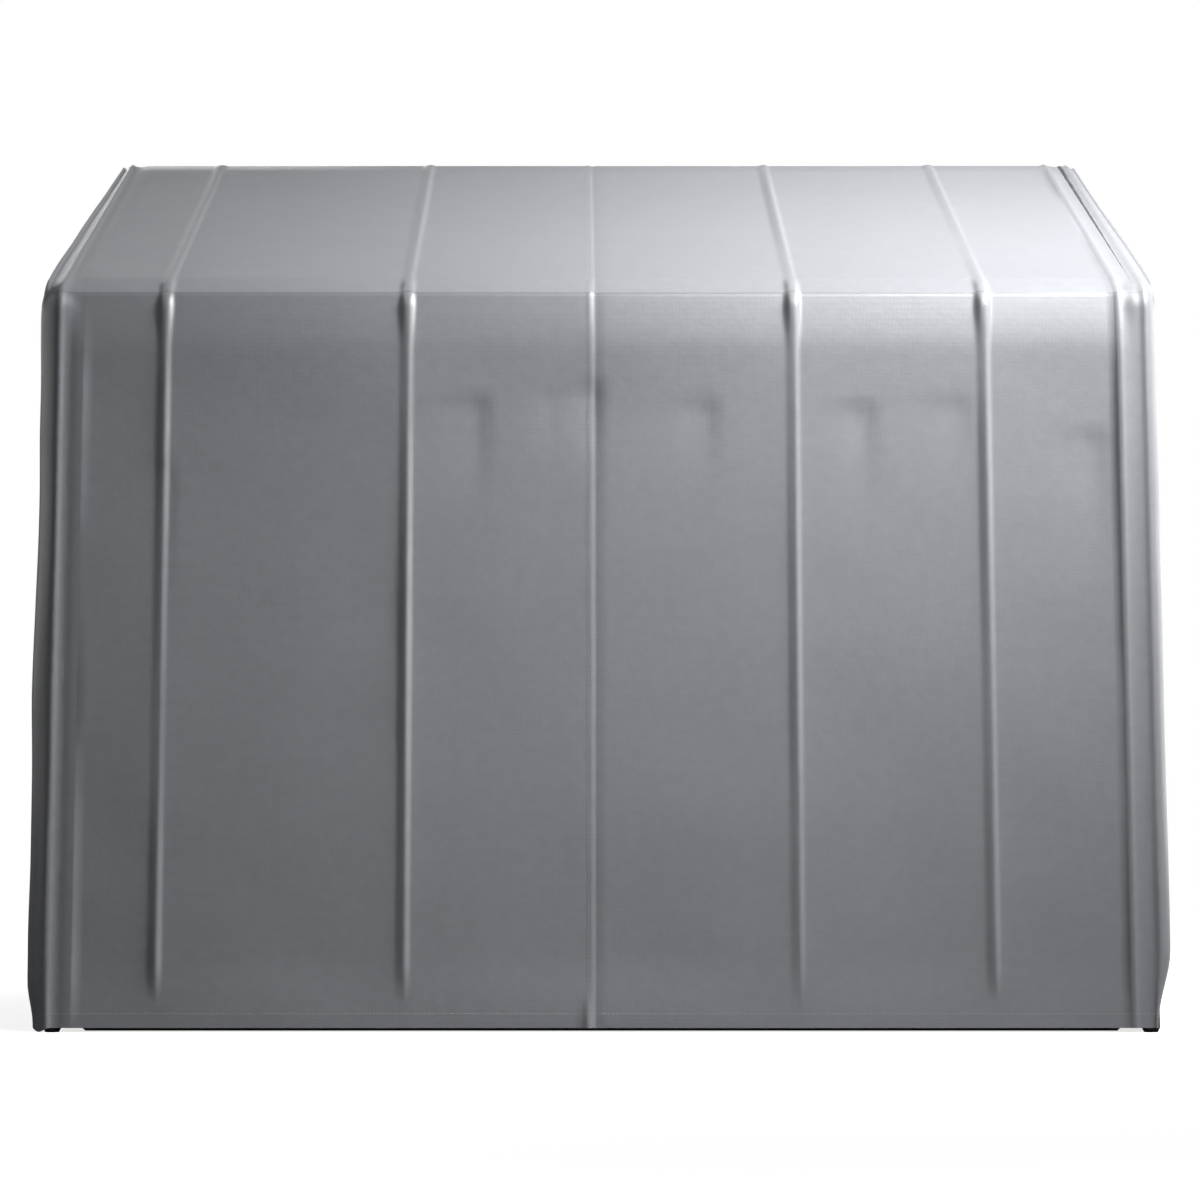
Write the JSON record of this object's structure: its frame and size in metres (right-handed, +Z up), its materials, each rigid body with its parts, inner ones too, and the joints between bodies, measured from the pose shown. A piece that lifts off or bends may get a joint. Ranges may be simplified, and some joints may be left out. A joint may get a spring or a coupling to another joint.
{
  "type": "home standby generator",
  "caption": "Gas-fuelled standby generator on a base pad, under a gabled fabric weather cover on tube hoops with a lifting front panel.",
  "frame": {"origin": "middle of the base pad's underside, on the ground", "axes": "+X along the machine to the exhaust end, -Y out of the front panel, +Z up"},
  "size_m": [1.4936, 1.0719, 1.3159],
  "materials": {
    "cover_fabric": "coated polyester weather-cover cloth, semi-gloss grey",
    "galvanised_tube": "galvanised steel tube",
    "rubber": "moulded black rubber",
    "composite_pad": "moulded composite pad",
    "cast_alloy": "as-cast aluminium alloy",
    "black_steel": "black powder coat",
    "bare_steel": "machined bare steel",
    "aluminised_steel": "aluminised steel, matt",
    "grey_paint": "light grey powder coat",
    "black_plastic": "textured black plastic",
    "winding": "laminated steel with varnished copper windings",
    "yellow_handle": "yellow dipped handle",
    "red_plastic": "red plastic",
    "green_plastic": "green plastic",
    "blue_plastic": "blue plastic",
    "filter_can": "orange painted can"
  },
  "bodies": {
    "enclosure_and_set": {"hoop_1": "galvanised_tube", "hoop_2": "galvanised_tube", "hoop_3": "galvanised_tube", "hoop_4": "galvanised_tube", "hoop_5": "galvanised_tube", "hoop_6": "galvanised_tube", "foot_front_left": "rubber", "foot_front_right": "rubber", "foot_rear_left": "rubber", "foot_rear_right": "rubber", "ridge_rail": "galvanised_tube", "eave_rail_front": "galvanised_tube", "eave_rail_rear": "galvanised_tube", "base_rail_front": "galvanised_tube", "base_rail_rear": "galvanised_tube", "base_rail_left": "galvanised_tube", "base_rail_right": "galvanised_tube", "cover_roof": "cover_fabric", "cover_rear": "cover_fabric", "cover_left_end": "cover_fabric", "cover_right_end": "cover_fabric", "exhaust_collar": "aluminised_steel", "base_pad": "composite_pad", "isolator_left": "rubber", "isolator_right": "rubber", "engine_cradle": "black_steel", "crankcase": "cast_alloy", "cylinder_front": "cast_alloy", "cylinder_rear": "cast_alloy", "rocker_cover_front": "cast_alloy", "rocker_cover_rear": "cast_alloy", "oil_filter": "filter_can", "starter_motor": "black_steel", "blower_housing": "black_steel", "alternator_stator": "grey_paint", "alternator_end_bell": "cast_alloy", "intake_manifold": "cast_alloy", "air_cleaner_base": "black_plastic", "air_cleaner_cover": "black_plastic", "gas_regulator": "grey_paint", "fuel_hose": "rubber", "exhaust_header": "aluminised_steel", "muffler": "aluminised_steel", "battery": "black_plastic", "battery_cable": "red_plastic", "control_cabinet": "grey_paint"},
    "front_panel": {"cover_front": "cover_fabric", "hem_bar": "galvanised_tube"},
    "vent_flap_left": {"vent_flap_left": "cover_fabric"},
    "vent_flap_right": {"vent_flap_right": "cover_fabric"},
    "rotating_set": {"crankshaft": "bare_steel", "flywheel_fan": "cast_alloy", "alternator_rotor": "winding"},
    "oil_dipstick": {"oil_dipstick": "yellow_handle"},
    "fuel_valve_lever": {"fuel_valve_lever": "yellow_handle"},
    "control_door": {"control_door": "grey_paint"},
    "button_manual": {"button_manual": "blue_plastic"},
    "button_off": {"button_off": "red_plastic"},
    "button_auto": {"button_auto": "green_plastic"},
    "breaker_toggle": {"breaker_toggle": "black_plastic"}
  },
  "joints": [
    {"name": "front_panel_lift", "type": "hinge", "parent": "enclosure_and_set", "child": "front_panel", "pos_m": [0, -0.5318, 0.9845], "axis": [-1, 0, 0], "range_deg": [0, 100]},
    {"name": "vent_flap_left_lift", "type": "hinge", "parent": "enclosure_and_set", "child": "vent_flap_left", "pos_m": [-0.7453, 0, 0.81], "axis": [0, 1, 0], "range_deg": [0, 80]},
    {"name": "vent_flap_right_lift", "type": "hinge", "parent": "enclosure_and_set", "child": "vent_flap_right", "pos_m": [0.7453, 0, 0.81], "axis": [0, -1, 0], "range_deg": [0, 80]},
    {"name": "crank_spin", "type": "hinge", "parent": "enclosure_and_set", "child": "rotating_set", "pos_m": [0, 0, 0.31], "axis": [1, 0, 0], "continuous": true},
    {"name": "dipstick_lift", "type": "slide", "parent": "enclosure_and_set", "child": "oil_dipstick", "axis": [0, 0, 1], "range_m": [0, 0.15]},
    {"name": "fuel_valve_turn", "type": "hinge", "parent": "enclosure_and_set", "child": "fuel_valve_lever", "pos_m": [-0.22, 0.285, 0.1563], "axis": [0, 0, 1], "range_deg": [0, 90]},
    {"name": "control_door_swing", "type": "hinge", "parent": "enclosure_and_set", "child": "control_door", "pos_m": [-0.635, -0.2643, 0.4], "axis": [0, 0, -1], "range_deg": [0, 110]},
    {"name": "button_manual_press", "type": "slide", "parent": "enclosure_and_set", "child": "button_manual", "axis": [0, 1, 0], "range_m": [0, 0.003], "stiffness_N_per_m": 400},
    {"name": "button_off_press", "type": "slide", "parent": "enclosure_and_set", "child": "button_off", "axis": [0, 1, 0], "range_m": [0, 0.003], "stiffness_N_per_m": 400},
    {"name": "button_auto_press", "type": "slide", "parent": "enclosure_and_set", "child": "button_auto", "axis": [0, 1, 0], "range_m": [0, 0.003], "stiffness_N_per_m": 400},
    {"name": "breaker_throw", "type": "hinge", "parent": "enclosure_and_set", "child": "breaker_toggle", "pos_m": [-0.53, -0.204, 0.455], "axis": [1, 0, 0], "range_deg": [0, 40]}
  ]
}
